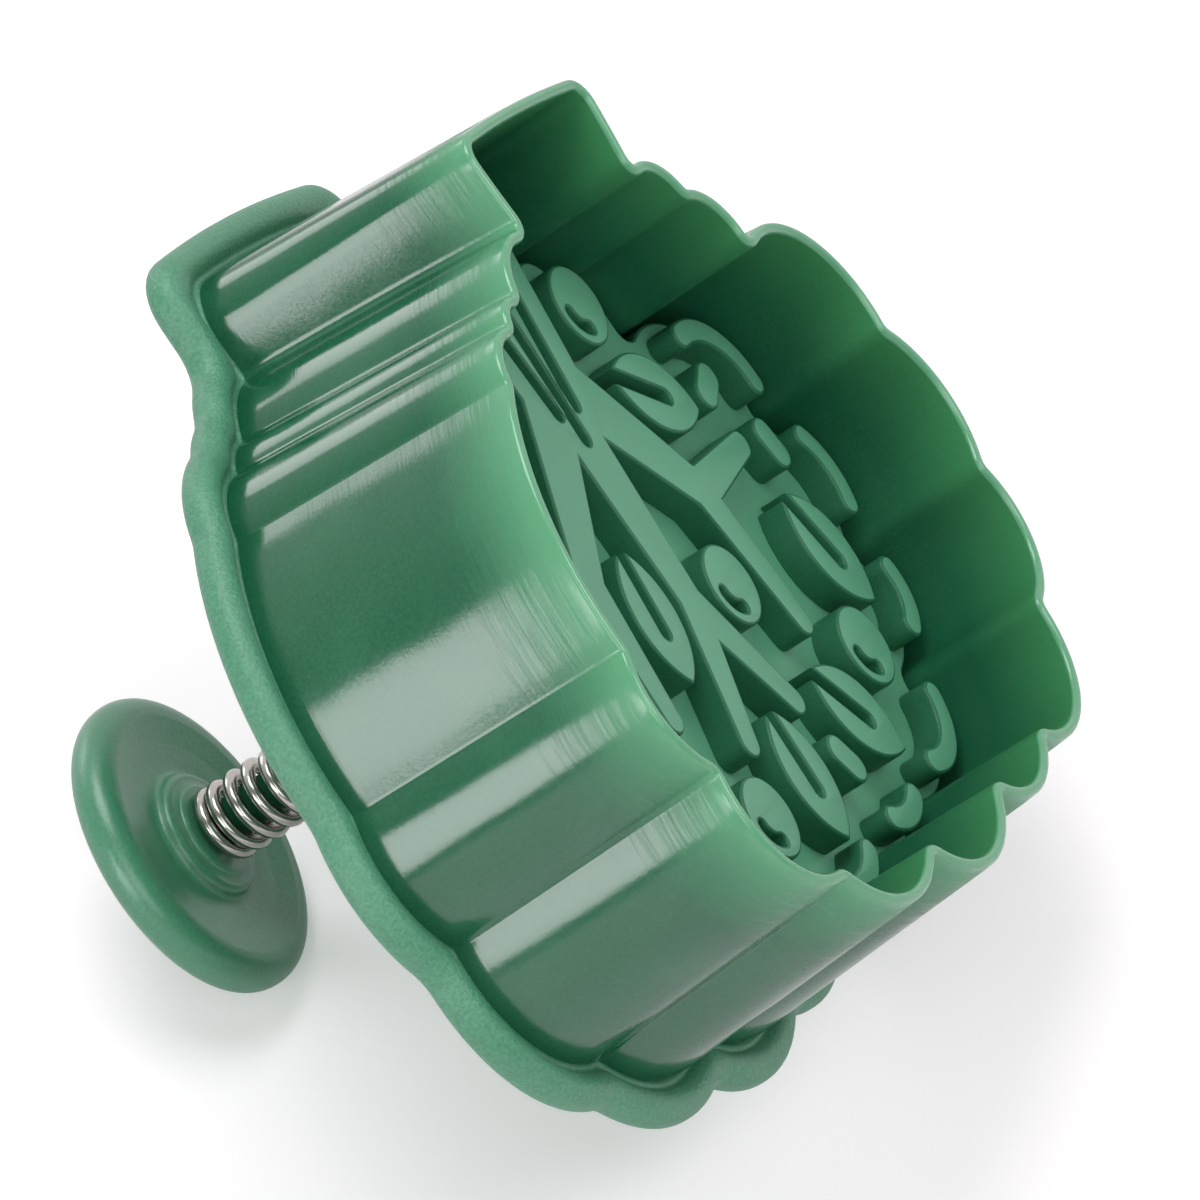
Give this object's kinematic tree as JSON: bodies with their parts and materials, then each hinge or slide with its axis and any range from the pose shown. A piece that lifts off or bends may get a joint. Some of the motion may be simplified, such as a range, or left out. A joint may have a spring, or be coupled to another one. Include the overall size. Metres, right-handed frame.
{
  "type": "plunger cutter",
  "caption": "Spring plunger cutter for pastry and fondant: a lobed cutting wall with a round-rimmed flange, a sliding embossing stamp and a push knob on a return spring.",
  "frame": {"origin": "on the stem's axis, in the plane of the cutting edge, under the middle of the flange", "axes": "+Z along the plunger from the cutting edge to the knob, +X along the crown's longer side, -Y towards the trunk's foot"},
  "size_m": [0.0918, 0.0824, 0.0648],
  "materials": {
    "green_plastic": "satin moulded plastic, smooth on the walls and finely grained on the flange and knob",
    "spring_steel": "bright drawn stainless wire",
    "screw_steel": "plain stainless screw"
  },
  "bodies": {
    "cutter": {"cutter_shell": "green_plastic", "return_spring": "spring_steel"},
    "plunger": {"stamp_plate": "green_plastic", "plunger_stem": "green_plastic", "plunger_knob": "green_plastic", "knob_screw": "screw_steel", "screw_cap": "green_plastic"}
  },
  "joints": [
    {"name": "plunger_slide", "type": "slide", "parent": "cutter", "child": "plunger", "axis": [0, 0, -1], "range_m": [0, 0.011], "stiffness_N_per_m": 5000, "springref_m": -0.002, "deforming": ["return_spring"]}
  ]
}
